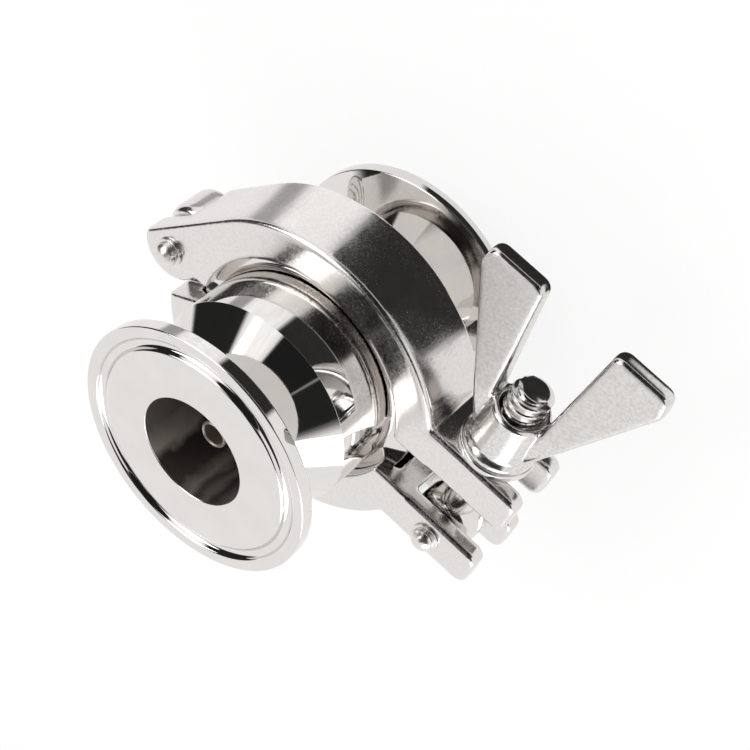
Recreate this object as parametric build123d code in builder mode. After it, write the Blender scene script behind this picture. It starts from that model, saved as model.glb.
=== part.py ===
"""Thermostatic steam trap with clamp-on ferrule ends, held together by a hinged clamp.

Frame: the trap's axis is Z and its lower (outlet) ferrule face is z = 0, so the
trap stands upright on that face.  X points from the axis towards the swing bolt
and Y points along the bolt, from its pivot to the wing nut.  Millimetres.
"""

import os
from math import asin, atan2, cos, degrees, radians, sin, sqrt, tan

from build123d import *

os.makedirs("parts", exist_ok=True)

# Driving dimensions of the two bodies
FACE_TO_FACE = 63.0
JOINT_Z = 27.25  # middle of the clamped joint
BORE_R = 11.05
RIM_R = 25.25  # the ferrules and the joint flanges share one clamp size
END_RIM_T = 2.6
JOINT_RIM_T = 2.85
TAPER_DEG = 20.0
NECK_WALL = 1.95
NECK_END_FROM_FACE = 8.95  # where the neck starts to flare
FLARE_DEG = 45.0
NECK_FILLET = 1.5
NECK_FILLET_SHARE = 0.85  # largest neck fillet, as a part of the neck's straight length
BODY_WALL = 2.5
JOINT_TAPER_W = 3.5
TAPER_STEP = 0.95  # from the foot of the joint's taper in to the body
GROOVE_IN = 3.55  # middle of each groove, measured in from the rim
GROOVE_W = 2.5
GROOVE_DEPTH = 1.1
EDGE_BREAK = 0.35

# Inside of the bodies
SPIDER_LEDGE_W = 1.7
SPIDER_LEDGE_H = 1.4
SPIDER_DEPTH = 20.0  # from the inlet face down to the spider's seat
SPIDER_T = 1.5
SNAP_RING_T = 1.1
SNAP_RING_IN = 1.5
SNAP_RING_SPLIT = 6.0
SNAP_GROOVE_DEPTH = 0.8
OUTLET_FLOOR_Z = 12.0
OUTLET_WEB_T = 4.5
FLOOR_POCKET_OUT = 2.2  # flat of the floor round the seat's thread
FLOOR_CONE_DEG = 31.8
SLIP = 0.05  # radial clearance of pieces that are slid together
SEAT_GAP = 0.02  # gap left where two faces bear on each other

# Joint gasket
GASKET_T = 2.0
GASKET_BEAD_R = 1.25

# Thermostatic element
STEM_R = 2.75
STEM_TOP_FROM_FACE = 5.6
STEM_WALL = 0.6
STEM_HOLE_DEPTH = 4.5
STEM_COLLAR_W = 1.55
STEM_COLLAR_T = 2.0
STEM_NUT_W = 1.25  # least wall between the stem and the nut's flats
STEM_NUT_T = 3.2
STEM_LIP_BREAK = 0.25
SMALL_CHAMFER = 0.4
SPIDER_RING_W = 2.6
SPIDER_HUB_W = 2.85
SPIDER_ARM_W = 3.6
SPIDER_ARMS = 3
CAP_T = 1.6
BELLOWS_R = 11.0
BELLOWS_FOLD = 2.8
BELLOWS_TURNS = 5
BELLOWS_WALL = 0.9  # across, so the slanted plates are about half as thick
PLATE_FLAT = 0.3
STOP_CLEARANCE = 2.6  # left between the stem's lower end and the moving cap
ORIFICE_R = 2.0
VALVE_COVER = 1.6  # how far the valve's cone reaches past the orifice
VALVE_SHOULDER = 1.2
VALVE_BAND = 1.2  # plain height above the valve's cone
VALVE_NECK_L = 2.28
VALVE_TRAVEL = 1.7
VALVE_CLOSED_GAP = 0.1

# Seat
SEAT_THREAD_R = 6.0
SEAT_LIP_W = 0.9
SEAT_LIP_H = 0.7
SEAT_HEAD_W = 1.0  # least width of the head past its thread
SEAT_HEAD_T = 2.0
SEAT_WASHER_T = 0.5
SEAT_END_RECESS = 0.4
SEAT_END_WALL = 1.6
SEAT_END_DEPTH = 2.0

# Clamp ring
LIP_GAP = 1.35  # from the foot of the joint's taper to the clamp's lips
CHANNEL_GAP = 1.05  # from the joint's rims to the floor of the channel
CLAMP_OUT = 5.95  # from the joint's rims to the clamp's outside
CLAMP_W = 15.5
CLAMP_EDGE = 1.1
TANGENT_DEG = 141.6  # where the hinge lug's straight back leaves the ring
EAR_OVERHANG = 10.6  # from the bolt's axis to the ears' ends
EAR_INNER_Y = 5.4
EAR_T = 8.8
EAR_CORNER = 2.2
SLOT_EASE = 0.7
CUT_OVER = 1.0  # how far a cutter reaches past the face it cuts

# Hinge
PIN_R = 2.1
PIN_HEAD_W = 0.35  # head and collar, both measured out from the pin
PIN_HEAD_H = 2.7
PIN_DOME_H = 1.4
PIN_COLLAR_W = 0.8
PIN_COLLAR_H = 0.45
PIN_GROOVE = 0.3
PIN_CHAMFER = 0.4
PIN_WASHER_W = 1.6
PIN_WASHER_T = 0.8
PIN_TAIL = 1.2
HINGE_OUT = 1.4  # from the ring's outside to the hinge pin
HINGE_Y = 1.2
FRONT_LUG_T = 5.3
FRONT_LUG_WALL = 4.5
FRONT_LUG_CORNER = 1.5
FRONT_LUG_EASE = 1.0
REAR_LUG_STEP = 0.6  # from the ring's rear face forward to the rear lug
REAR_LUG_WALL = 4.1
REAR_LUG_EASE = 1.8
LUG_GAP = 0.6
FRONT_LUG_SINK = 1.0  # how far each lug starts inside the ring it grows from
LUG_SINK = 0.4
LUG_SWING_GAP = 0.8
LUG_CUT_IN = 14.0  # reach of the room cut for the rear lug, from the hinge pin
LUG_CUT_TOP = 2.8
LUG_CUT_OUT = 12.0
LUG_RIGHT_DEG = -25  # places round the front lug's round end
LUG_FOOT_DEG = -100
LUG_ROOM_DEG = (20, 190)  # places round the room for the rear lug
RING_INNER_DEG = (172, 150)
WEB_INNER_DEG = (180, 200, 218)
FACET_OUT = (2.9, -10.2)  # two points of the lower half's facet, from the hinge pin
FACET_IN = (6.8, -7.6)
FACET_CUT_TOP = 6.8

# Swing bolt, washer and wing nut
BOLT_OUT = 6.4  # from the ring's outside to the bolt's axis
PIVOT_IN_EAR = 4.6  # from the lower ear's inner face to the pivot pin
SHANK_R = 3.35
THREAD_R = 3.85
THREAD_FROM_EAR = 2.8
SLOT_GAP = 0.15
BOLT_END_R = 2.4
BOLT_EYE_WALL = 4.2
BOLT_EYE_SIDE_GAP = 0.2
BOLT_EYE_EASE = 1.2
EYE_BACK_GAP = 0.7
BOLT_PROUD = 5.66
WASHER_T = 1.4
WASHER_CHAMFER = 0.35
WASHER_MARGIN = 0.3
NUT_H = 11.3
NUT_MOUTH_W = 0.85
NUT_TOP_RIM = 0.3
NUT_TOP_BREAK = 0.6
NUT_WAIST = 0.7  # how much wider the hub is at its foot
NUT_COLLAR_W = 0.8
NUT_COLLAR_T = 2.3
NUT_COLLAR_EDGE = 1.0
WING_H = 36.0
WING_SPAN = 39.4
WING_INNER_TOP = 7.6  # inner edge from the bolt axis at the tip
WING_OUTER_KNEE_DROP = 4.6
WING_ROOT_IN = 0.6  # the wing's two edges at the hub, both from the hub's own sides
WING_ROOT_OUT = 0.3
WING_FROM_BASE = 1.76
WING_TIP_T = 3.4
WING_ROOT_T = 5.4
WING_EDGE = 1.1
WING_TIP_LEAN = 0.6
WING_INNER_CORNER = 2.0
WING_OUTER_CORNER = 3.0
WING_SINK = 0.6  # how far a wing starts inside the hub
WING_SINK_Y = 3.0

# Sizes and places that follow from the ones above
INLET_Z = FACE_TO_FACE
TAN_TAPER = tan(radians(TAPER_DEG))
NECK_R = BORE_R + NECK_WALL
TAPER_END_R = RIM_R - JOINT_TAPER_W
BODY_R = TAPER_END_R - TAPER_STEP
CHAMBER_R = BODY_R - BODY_WALL
GROOVE_R = RIM_R - GROOVE_IN
SPIDER_LEDGE_R = CHAMBER_R - SPIDER_LEDGE_W
OUTLET_WEB_Z = OUTLET_FLOOR_Z - OUTLET_WEB_T
FLOOR_POCKET_R = SEAT_THREAD_R + FLOOR_POCKET_OUT
SEAT_HEAD_FLATS = 2 * (SEAT_THREAD_R + SEAT_HEAD_W)
SEAT_HEAD_Z = OUTLET_FLOOR_Z + SEAT_WASHER_T
SEAT_LIP_Z = SEAT_HEAD_Z + SEAT_HEAD_T + SEAT_LIP_H
VALVE_HEAD_R = ORIFICE_R + VALVE_COVER
VALVE_NECK_R = VALVE_HEAD_R - VALVE_SHOULDER
VALVE_TIP_Z = SEAT_LIP_Z - ORIFICE_R + VALVE_TRAVEL + VALVE_CLOSED_GAP
VALVE_NECK_Z = VALVE_TIP_Z + VALVE_HEAD_R + VALVE_BAND + VALVE_SHOULDER
BOTTOM_CAP_Z = VALVE_NECK_Z + VALVE_NECK_L
BELLOWS_BOTTOM_Z = BOTTOM_CAP_Z + CAP_T
BELLOWS_ROOT_R = BELLOWS_R - BELLOWS_FOLD
SPIDER_SEAT_Z = INLET_Z - SPIDER_DEPTH
SPIDER_BOTTOM_Z = SPIDER_SEAT_Z - SEAT_GAP - SPIDER_T
SPIDER_ARM_L = CHAMBER_R - SPIDER_RING_W / 2
SPIDER_HUB_R = STEM_R + SPIDER_HUB_W
TOP_CAP_TOP_Z = SPIDER_BOTTOM_Z - STEM_COLLAR_T
BELLOWS_TOP_Z = TOP_CAP_TOP_Z - CAP_T
BELLOWS_PITCH = (BELLOWS_TOP_Z - BELLOWS_BOTTOM_Z) / BELLOWS_TURNS
CLAMP_LIP_R = TAPER_END_R + LIP_GAP
CHANNEL_R = RIM_R + CHANNEL_GAP
CLAMP_R = RIM_R + CLAMP_OUT
FRONT_Z = JOINT_Z + CLAMP_W / 2
REAR_Z = JOINT_Z - CLAMP_W / 2
LUG_SPLIT_Z = FRONT_Z - FRONT_LUG_T
REAR_LUG_T = CLAMP_W - FRONT_LUG_T - LUG_GAP - REAR_LUG_STEP
EAR_OUTER_Y = EAR_INNER_Y + EAR_T
HINGE_X = -(CLAMP_R + HINGE_OUT)
FRONT_LUG_R = PIN_R + FRONT_LUG_WALL
REAR_LUG_R = PIN_R + REAR_LUG_WALL
PIN_HEAD_R = PIN_R + PIN_HEAD_W
PIN_COLLAR_R = PIN_R + PIN_COLLAR_W
PIN_WASHER_R = PIN_R + PIN_WASHER_W
BOLT_X = CLAMP_R + BOLT_OUT
EAR_END_X = BOLT_X + EAR_OVERHANG
BOLT_PIVOT_Y = -(EAR_INNER_Y + PIVOT_IN_EAR)
BOLT_SLOT_W = 2 * (THREAD_R + SLOT_GAP)
BOLT_EYE_R = PIN_R + BOLT_EYE_WALL
THREAD_START_Y = EAR_OUTER_Y + THREAD_FROM_EAR
NUT_BOTTOM_Y = EAR_OUTER_Y + WASHER_T + 2 * SEAT_GAP
NUT_TOP_Y = NUT_BOTTOM_Y + NUT_H
BOLT_TOP_Y = NUT_TOP_Y + BOLT_PROUD
NUT_MOUTH_R = THREAD_R + NUT_MOUTH_W
NUT_TOP_R = NUT_MOUTH_R + NUT_TOP_RIM + NUT_TOP_BREAK
NUT_BASE_R = NUT_TOP_R + NUT_WAIST
NUT_COLLAR_R = NUT_BASE_R + NUT_COLLAR_W
WASHER_R = NUT_COLLAR_R + WASHER_MARGIN
WING_ROOT_Y = NUT_BOTTOM_Y + WING_FROM_BASE
WING_TOP_Y = WING_ROOT_Y + WING_H
WING_INNER_ROOT = NUT_TOP_R - WING_ROOT_IN
WING_ROOT_OUTER = NUT_BASE_R - WING_ROOT_OUT


def on_circle(radius, angle_deg, center=(0, 0)):
    """Point at an angle on a circle in the XY plane."""
    a = radians(angle_deg)
    return center[0] + radius * cos(a), center[1] + radius * sin(a)


def taper_z(rim_z, radius, up):
    """Height of a clamping taper at a radius, for a rim that ends at rim_z."""
    return rim_z + up * (RIM_R - radius) * TAN_TAPER


def near(sketch, places):
    """Corners of a turning profile that lie at the given radius and height."""
    spots = [Vector(r, 0, z) for r, z in places]
    corners = sketch.vertices()
    to_part = Plane.XZ
    return [
        v
        for v in corners
        if any((to_part.from_local_coords(Vector(v.X, v.Y, 0)) - spot).length < 0.01 for spot in spots)
    ]


def body_half(face_z, up, chamber_profile):
    """Turn one body half.  face_z is its ferrule face, up is the way into the body."""
    joint_face = JOINT_Z - up * GASKET_T / 2
    joint_rim = joint_face - up * JOINT_RIM_T
    taper_end = taper_z(joint_rim, TAPER_END_R, -up)
    end_rim = face_z + up * END_RIM_T
    flare_z = face_z + up * NECK_END_FROM_FACE
    shoulder_z = flare_z + up * (BODY_R - NECK_R) * tan(radians(90 - FLARE_DEG))
    necks = [(NECK_R, taper_z(end_rim, NECK_R, up)), (NECK_R, flare_z)]
    neck_room = abs(flare_z - necks[0][1])
    neck_fillet = min(NECK_FILLET, neck_room * NECK_FILLET_SHARE)
    rims = [(RIM_R, face_z), (RIM_R, end_rim), (RIM_R, joint_rim), (RIM_R, joint_face)]
    outer = [(BORE_R, face_z), rims[0], rims[1], necks[0], necks[1]]
    outer += [(BODY_R, shoulder_z)]
    outer += [(BODY_R, taper_end - up * (TAPER_END_R - BODY_R)), (TAPER_END_R, taper_end)]
    outer += [rims[2], rims[3]]
    with BuildPart() as half:
        with BuildSketch(Plane.XZ) as profile:
            with BuildLine():
                Polyline(outer + chamber_profile, close=True)
            make_face()
            fillet(near(profile, rims), EDGE_BREAK)
            fillet(near(profile, necks), neck_fillet)
            for z, into in ((face_z, up), (joint_face, -up)):
                with BuildLine():
                    Polyline(
                        (GROOVE_R - GROOVE_W / 2, z - into),
                        (GROOVE_R - GROOVE_W / 2, z),
                        (GROOVE_R - GROOVE_W / 4, z + into * GROOVE_DEPTH),
                        (GROOVE_R + GROOVE_W / 4, z + into * GROOVE_DEPTH),
                        (GROOVE_R + GROOVE_W / 2, z),
                        (GROOVE_R + GROOVE_W / 2, z - into),
                        close=True,
                    )
                make_face(mode=Mode.SUBTRACT)
        revolve(axis=Axis.Z)
    return half.part


# Inlet body, the longer half, which holds the element
inlet_step_z = SPIDER_SEAT_Z + SPIDER_LEDGE_H
inlet_bore_z = inlet_step_z + (SPIDER_LEDGE_R - BORE_R) / tan(radians(FLARE_DEG))
groove_low_z = SPIDER_BOTTOM_Z - SNAP_RING_T - SLIP
inlet_solid = body_half(
    INLET_Z,
    -1,
    [
        (CHAMBER_R, JOINT_Z + GASKET_T / 2),
        (CHAMBER_R, groove_low_z),
        (CHAMBER_R + SNAP_GROOVE_DEPTH, groove_low_z),
        (CHAMBER_R + SNAP_GROOVE_DEPTH, SPIDER_BOTTOM_Z),
        (CHAMBER_R, SPIDER_BOTTOM_Z),
        (CHAMBER_R, SPIDER_SEAT_Z),
        (SPIDER_LEDGE_R, SPIDER_SEAT_Z),
        (SPIDER_LEDGE_R, inlet_step_z),
        (BORE_R, inlet_bore_z),
    ],
)
with BuildPart() as inlet_body:
    add(inlet_solid)

# Outlet body, the shorter half, whose floor carries the seat
outlet_cone_z = OUTLET_FLOOR_Z + (CHAMBER_R - FLOOR_POCKET_R) * tan(radians(FLOOR_CONE_DEG))
outlet_solid = body_half(
    0.0,
    1,
    [
        (CHAMBER_R, JOINT_Z - GASKET_T / 2),
        (CHAMBER_R, outlet_cone_z),
        (FLOOR_POCKET_R, OUTLET_FLOOR_Z),
        (SEAT_THREAD_R + SLIP, OUTLET_FLOOR_Z),
        (SEAT_THREAD_R + SLIP, OUTLET_WEB_Z),
        (BORE_R, OUTLET_WEB_Z),
    ],
)
with BuildPart() as outlet_body:
    add(outlet_solid)

# Joint gasket with a bead that sits in both grooves
with BuildPart() as body_gasket:
    with BuildSketch(Plane.XZ):
        with Locations(((CHAMBER_R + SLIP + RIM_R - EDGE_BREAK) / 2, JOINT_Z)):
            Rectangle(RIM_R - EDGE_BREAK - CHAMBER_R - SLIP, GASKET_T - 2 * SEAT_GAP)
        with Locations((GROOVE_R, JOINT_Z)):
            RegularPolygon(GASKET_BEAD_R, 8, major_radius=False)
    revolve(axis=Axis.Z)

# Valve seat, screwed down through the floor of the outlet body
with BuildPart() as valve_seat:
    with BuildSketch(Plane.XY.offset(SEAT_HEAD_Z)):
        RegularPolygon(SEAT_HEAD_FLATS / 2, 6, major_radius=False)
    extrude(amount=SEAT_HEAD_T)
    with BuildSketch(Plane.XY.offset(SEAT_HEAD_Z)):
        Circle(SEAT_THREAD_R)
    extrude(amount=OUTLET_WEB_Z + SEAT_END_RECESS - SEAT_HEAD_Z)
    with BuildSketch(Plane.XY.offset(SEAT_HEAD_Z + SEAT_HEAD_T)):
        Circle(ORIFICE_R + SEAT_LIP_W)
    extrude(amount=SEAT_LIP_H)
    with Locations((0, 0, SEAT_LIP_Z)):
        Hole(ORIFICE_R)
    with BuildSketch(Plane.XY.offset(OUTLET_WEB_Z)):
        Circle(SEAT_THREAD_R - SEAT_END_WALL)
    extrude(amount=SEAT_END_DEPTH, mode=Mode.SUBTRACT)

with BuildPart() as seat_washer:
    with BuildSketch(Plane.XY.offset(OUTLET_FLOOR_Z + SEAT_GAP / 2)):
        Circle(SEAT_HEAD_FLATS / 2)
        Circle(SEAT_THREAD_R + SLIP, mode=Mode.SUBTRACT)
    extrude(amount=SEAT_WASHER_T - SEAT_GAP)

# Spider that carries the element, and the snap ring below it
with BuildPart() as element_spider:
    with BuildSketch(Plane.XY.offset(SPIDER_BOTTOM_Z)):
        Circle(CHAMBER_R - SLIP)
        Circle(CHAMBER_R - SLIP - SPIDER_RING_W, mode=Mode.SUBTRACT)
        with PolarLocations(SPIDER_ARM_L / 2, SPIDER_ARMS, start_angle=90):
            Rectangle(SPIDER_ARM_L, SPIDER_ARM_W)
        Circle(SPIDER_HUB_R)
        Circle(STEM_R + SLIP, mode=Mode.SUBTRACT)
    extrude(amount=SPIDER_T)

with BuildPart() as spider_snap_ring:
    with BuildSketch(Plane.XY.offset(SPIDER_BOTTOM_Z - SEAT_GAP - SNAP_RING_T)):
        Circle(CHAMBER_R + SNAP_GROOVE_DEPTH - SLIP)
        Circle(CHAMBER_R - SNAP_RING_IN, mode=Mode.SUBTRACT)
        with Locations((0, -CHAMBER_R)):
            Rectangle(SNAP_RING_SPLIT, SNAP_RING_SPLIT, mode=Mode.SUBTRACT)
    extrude(amount=SNAP_RING_T - SEAT_GAP)

# Stem of the element: its drilled upper end shows in the inlet bore
stem_top_z = INLET_Z - STEM_TOP_FROM_FACE
stem_low_z = BELLOWS_BOTTOM_Z + STOP_CLEARANCE
with BuildPart() as element_stem:
    with BuildSketch(Plane.XY.offset(stem_low_z)):
        Circle(STEM_R)
    extrude(amount=stem_top_z - stem_low_z)
    with BuildSketch(Plane.XY.offset(TOP_CAP_TOP_Z + SEAT_GAP)):
        Circle(STEM_R + STEM_COLLAR_W)
    extrude(amount=STEM_COLLAR_T - 2 * SEAT_GAP)
    with Locations((0, 0, stem_top_z)):
        Hole(STEM_R - STEM_WALL, depth=STEM_HOLE_DEPTH)
    chamfer(element_stem.edges().group_by(Axis.Z)[-1], STEM_LIP_BREAK)
    chamfer(element_stem.edges().group_by(Axis.Z)[0], SMALL_CHAMFER)

with BuildPart() as stem_nut:
    with BuildSketch(Plane.XY.offset(SPIDER_BOTTOM_Z + SPIDER_T + SEAT_GAP)):
        RegularPolygon(STEM_R + STEM_NUT_W, 6, major_radius=False)
        Circle(STEM_R + SLIP, mode=Mode.SUBTRACT)
    extrude(amount=STEM_NUT_T)
    chamfer(stem_nut.faces().sort_by(Axis.Z)[-1].outer_wire().edges(), SMALL_CHAMFER)

# Bellows of conical plates that meet at narrow flats, between two end caps
with BuildPart() as bellows_top_cap:
    with BuildSketch(Plane.XY.offset(BELLOWS_TOP_Z)):
        Circle(BELLOWS_R)
        Circle(STEM_R + SLIP, mode=Mode.SUBTRACT)
    extrude(amount=CAP_T)
    chamfer(bellows_top_cap.faces().sort_by(Axis.Z)[-1].outer_wire().edges(), SMALL_CHAMFER)

def bellows_side(shift):
    """Zigzag of one side of the plate bellows, moved outwards by shift."""
    points = [(BELLOWS_ROOT_R + shift, BELLOWS_TOP_Z - SEAT_GAP)]
    for turn in range(BELLOWS_TURNS):
        mid = BELLOWS_TOP_Z - (turn + 0.5) * BELLOWS_PITCH
        points.append((BELLOWS_R + shift, mid + PLATE_FLAT / 2))
        points.append((BELLOWS_R + shift, mid - PLATE_FLAT / 2))
        if turn + 1 < BELLOWS_TURNS:
            low = mid - BELLOWS_PITCH / 2
            points.append((BELLOWS_ROOT_R + shift, low + PLATE_FLAT / 2))
            points.append((BELLOWS_ROOT_R + shift, low - PLATE_FLAT / 2))
    points.append((BELLOWS_ROOT_R + shift, BELLOWS_BOTTOM_Z + SEAT_GAP))
    return points


with BuildPart() as bellows:
    with BuildSketch(Plane.XZ):
        with BuildLine():
            Polyline(bellows_side(0.0) + bellows_side(-BELLOWS_WALL)[::-1], close=True)
        make_face()
    revolve(axis=Axis.Z)

with BuildPart() as bellows_bottom_cap:
    with BuildSketch(Plane.XY.offset(BOTTOM_CAP_Z)):
        Circle(BELLOWS_R)
    extrude(amount=CAP_T)
    chamfer(bellows_bottom_cap.faces().sort_by(Axis.Z)[0].outer_wire().edges(), SMALL_CHAMFER)

with BuildPart() as valve_head:
    with BuildSketch(Plane.XZ):
        with BuildLine():
            Polyline(
                (0, VALVE_TIP_Z),
                (VALVE_HEAD_R, VALVE_TIP_Z + VALVE_HEAD_R),
                (VALVE_HEAD_R, VALVE_TIP_Z + VALVE_HEAD_R + VALVE_BAND),
                (VALVE_NECK_R, VALVE_NECK_Z),
                (VALVE_NECK_R, BOTTOM_CAP_Z - SEAT_GAP),
                (0, BOTTOM_CAP_Z - SEAT_GAP),
                close=True,
            )
        make_face()
    revolve(axis=Axis.Z)


def clamp_channel():
    """Solid that fills the inside of the clamp: the lips' bore and the tapered channel."""
    stack = GASKET_T / 2 + JOINT_RIM_T + SLIP
    lip = taper_z(stack, CLAMP_LIP_R, 1)
    deep = taper_z(stack, CHANNEL_R, 1)
    outside = CLAMP_W / 2 + CUT_OVER
    upper = [(0, outside), (CLAMP_LIP_R, outside), (CLAMP_LIP_R, lip), (CHANNEL_R, deep)]
    lower = [(r, -z) for r, z in reversed(upper)]
    with BuildPart() as void:
        with BuildSketch(Plane.XZ):
            with BuildLine():
                Polyline([(r, JOINT_Z + z) for r, z in upper + lower], close=True)
            make_face()
        revolve(axis=Axis.Z)
    return void.part


def bolt_opening(side):
    """Slot with a round end for the upper ear, square fork for the lower ear, seen along Y."""
    with BuildSketch() as opening:
        if side > 0:
            with Locations((BOLT_X, 0)):
                Circle(BOLT_SLOT_W / 2)
                Rectangle(EAR_END_X, BOLT_SLOT_W, align=(Align.MIN, Align.CENTER))
        else:
            with Locations((BOLT_X - BOLT_EYE_R - EYE_BACK_GAP, 0)):
                Rectangle(EAR_END_X, BOLT_SLOT_W, align=(Align.MIN, Align.CENTER))
    return opening.sketch


def clamp_arch(side):
    """Half ring of the clamp and its bolt ear; side is 1 for the upper half, -1 for the lower."""
    ear_root_x = CLAMP_LIP_R + FRONT_LUG_SINK
    with BuildPart() as arch:
        with BuildSketch(Plane.XZ) as section:
            with Locations(((CLAMP_LIP_R - CUT_OVER + CLAMP_R) / 2, JOINT_Z)):
                Rectangle(CLAMP_R - CLAMP_LIP_R + CUT_OVER, CLAMP_W)
            fillet(section.vertices().group_by(Axis.X)[-1], CLAMP_EDGE)
        revolve(axis=Axis.Z, revolution_arc=side * 180)
        with BuildSketch(Plane.XY.offset(REAR_Z)):
            Rectangle(3 * CLAMP_R, 2 * EAR_INNER_Y, align=(Align.MIN, Align.CENTER))
        extrude(amount=CLAMP_W, mode=Mode.SUBTRACT)
    with BuildPart() as ear:
        with BuildSketch(Plane.XY.offset(REAR_Z)):
            with Locations(((ear_root_x + EAR_END_X) / 2, side * (EAR_INNER_Y + EAR_OUTER_Y) / 2)):
                Rectangle(EAR_END_X - ear_root_x, EAR_T)
        extrude(amount=CLAMP_W)
        fillet(ear.edges().filter_by(Axis.Z).group_by(Axis.X)[-1], EAR_CORNER)
        broad = ear.faces().filter_by(Axis.Z).edges()
        fillet(broad.filter_by(lambda e: e.center().X > ear_root_x + CUT_OVER), CLAMP_EDGE)
        with BuildSketch(Plane.XZ.offset(2 * EAR_OUTER_Y)):
            with Locations((0, JOINT_Z)):
                add(bolt_opening(side))
        extrude(amount=-4 * EAR_OUTER_Y, mode=Mode.SUBTRACT)
        mouth = ear.edges().filter_by(lambda e: abs(e.center().Z - JOINT_Z) < BOLT_SLOT_W / 2 + SLIP)
        mouth = mouth.filter_by(Axis.Y, reverse=True)
        fillet(mouth.filter_by(lambda e: e.center().X > ear_root_x + CUT_OVER), SLOT_EASE)
    return arch.part + ear.part


def upright(points):
    """Closed outline of straight lines, drawn from its corners."""
    with BuildSketch() as outline:
        with BuildLine():
            Polyline(points, close=True)
        make_face()
    return outline.sketch


hinge = (HINGE_X, HINGE_Y)
tangent_point = on_circle(CLAMP_R, TANGENT_DEG)
back_dir = on_circle(1.0, TANGENT_DEG + 90)
reach = (hinge[0] - tangent_point[0]) * back_dir[0] + (hinge[1] - tangent_point[1]) * back_dir[1]
off = abs((hinge[0] - tangent_point[0]) * back_dir[1] - (hinge[1] - tangent_point[1]) * back_dir[0])
rear_lug_z = LUG_SPLIT_Z - LUG_GAP - REAR_LUG_T
channel = clamp_channel()


def lug_corner(lug_r):
    """Where the lug's straight back meets a round end of radius lug_r."""
    s = reach + sqrt(lug_r**2 - off**2)
    return tangent_point[0] + s * back_dir[0], tangent_point[1] + s * back_dir[1]


def lower_lug_foot(start):
    """Where a line from start just touches the rear lug's round end."""
    dx, dy = HINGE_X - start[0], HINGE_Y - start[1]
    spread = degrees(asin(REAR_LUG_R / sqrt(dx * dx + dy * dy)))
    return on_circle(REAR_LUG_R, degrees(atan2(dy, dx)) + spread + 90, hinge)


with BuildPart() as rear_boss:
    with BuildSketch(Plane.XY.offset(rear_lug_z)):
        with Locations(hinge):
            Circle(REAR_LUG_R)
    extrude(amount=REAR_LUG_T)
    fillet(rear_boss.edges(), REAR_LUG_EASE)
with BuildPart() as rear_web:
    web_start = on_circle(CLAMP_R - LUG_SINK, -TANGENT_DEG)
    web_inner = [on_circle(CLAMP_LIP_R + LUG_SINK, angle) for angle in WEB_INNER_DEG]
    with BuildSketch(Plane.XY.offset(rear_lug_z)):
        add(upright([web_start, lower_lug_foot(web_start), hinge] + web_inner))
    extrude(amount=REAR_LUG_T)
    rims = rear_web.faces().filter_by(Axis.Z).edges()
    fillet(rims.sort_by(SortBy.LENGTH)[-2:], REAR_LUG_EASE)

with BuildPart() as clamp_upper_half:
    add(clamp_arch(1))
    with BuildPart(mode=Mode.PRIVATE) as front_lug:
        corner = lug_corner(FRONT_LUG_R)
        right = on_circle(FRONT_LUG_R, LUG_RIGHT_DEG, hinge)
        inside = [on_circle(CLAMP_LIP_R + FRONT_LUG_SINK, angle) for angle in RING_INNER_DEG]
        with BuildSketch(Plane.XY.offset(REAR_Z)):
            with BuildLine():
                Line(tangent_point, corner)
                ThreePointArc(corner, on_circle(FRONT_LUG_R, LUG_FOOT_DEG, hinge), right)
                Polyline(right, inside[0], inside[1], tangent_point)
            make_face()
        extrude(amount=CLAMP_W)
        fillet(front_lug.edges().filter_by(Axis.Z).sort_by(Axis.X)[0], FRONT_LUG_CORNER)
        rims = front_lug.faces().filter_by(Axis.Z).edges()
        fillet(rims.filter_by(lambda e: e.center().X < HINGE_X + CUT_OVER), FRONT_LUG_EASE)
    add(front_lug.part)
    add(channel, mode=Mode.SUBTRACT)
    # The rear of this half stops short of the other half's lug
    room_r = REAR_LUG_R + LUG_SWING_GAP
    with BuildSketch(Plane.XY.offset(REAR_Z - CUT_OVER)):
        with Locations(hinge):
            Circle(room_r)
        add(
            upright(
                [
                    on_circle(room_r, LUG_ROOM_DEG[0], hinge),
                    (HINGE_X + LUG_CUT_IN, HINGE_Y + LUG_CUT_TOP),
                    (HINGE_X + LUG_CUT_IN, HINGE_Y - LUG_CUT_OUT),
                    (HINGE_X - LUG_CUT_OUT, HINGE_Y - LUG_CUT_OUT),
                    on_circle(room_r, LUG_ROOM_DEG[1], hinge),
                ]
            )
        )
    extrude(amount=LUG_SPLIT_Z - REAR_Z + CUT_OVER, mode=Mode.SUBTRACT)
    with Locations((HINGE_X, HINGE_Y, FRONT_Z)):
        Hole(PIN_R + SLIP)

with BuildPart() as clamp_lower_half:
    add(clamp_arch(-1))
    # The ring ends in a flat facet below the other half's lug
    facet_dx = 3 * (FACET_IN[0] - FACET_OUT[0])
    facet_dy = 3 * (FACET_IN[1] - FACET_OUT[1])
    facet_far = (HINGE_X + FACET_OUT[0] - facet_dx, HINGE_Y + FACET_OUT[1] - facet_dy)
    facet_near = (HINGE_X + FACET_IN[0] + facet_dx, HINGE_Y + FACET_IN[1] + facet_dy)
    facet_top = HINGE_Y + FACET_CUT_TOP
    with BuildSketch(Plane.XY.offset(REAR_Z - CUT_OVER)):
        add(upright([facet_far, facet_near, (facet_near[0], facet_top), (facet_far[0], facet_top)]))
    extrude(amount=CLAMP_W + 2 * CUT_OVER, mode=Mode.SUBTRACT)
    # Lug round the hinge pin, behind the other half's lug: a round boss and a straight web
    add(rear_boss.part)
    add(rear_web.part)
    add(channel, mode=Mode.SUBTRACT)
    with Locations((HINGE_X, HINGE_Y, FRONT_Z), (BOLT_X, BOLT_PIVOT_Y, FRONT_Z)):
        Hole(PIN_R + SLIP)


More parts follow.
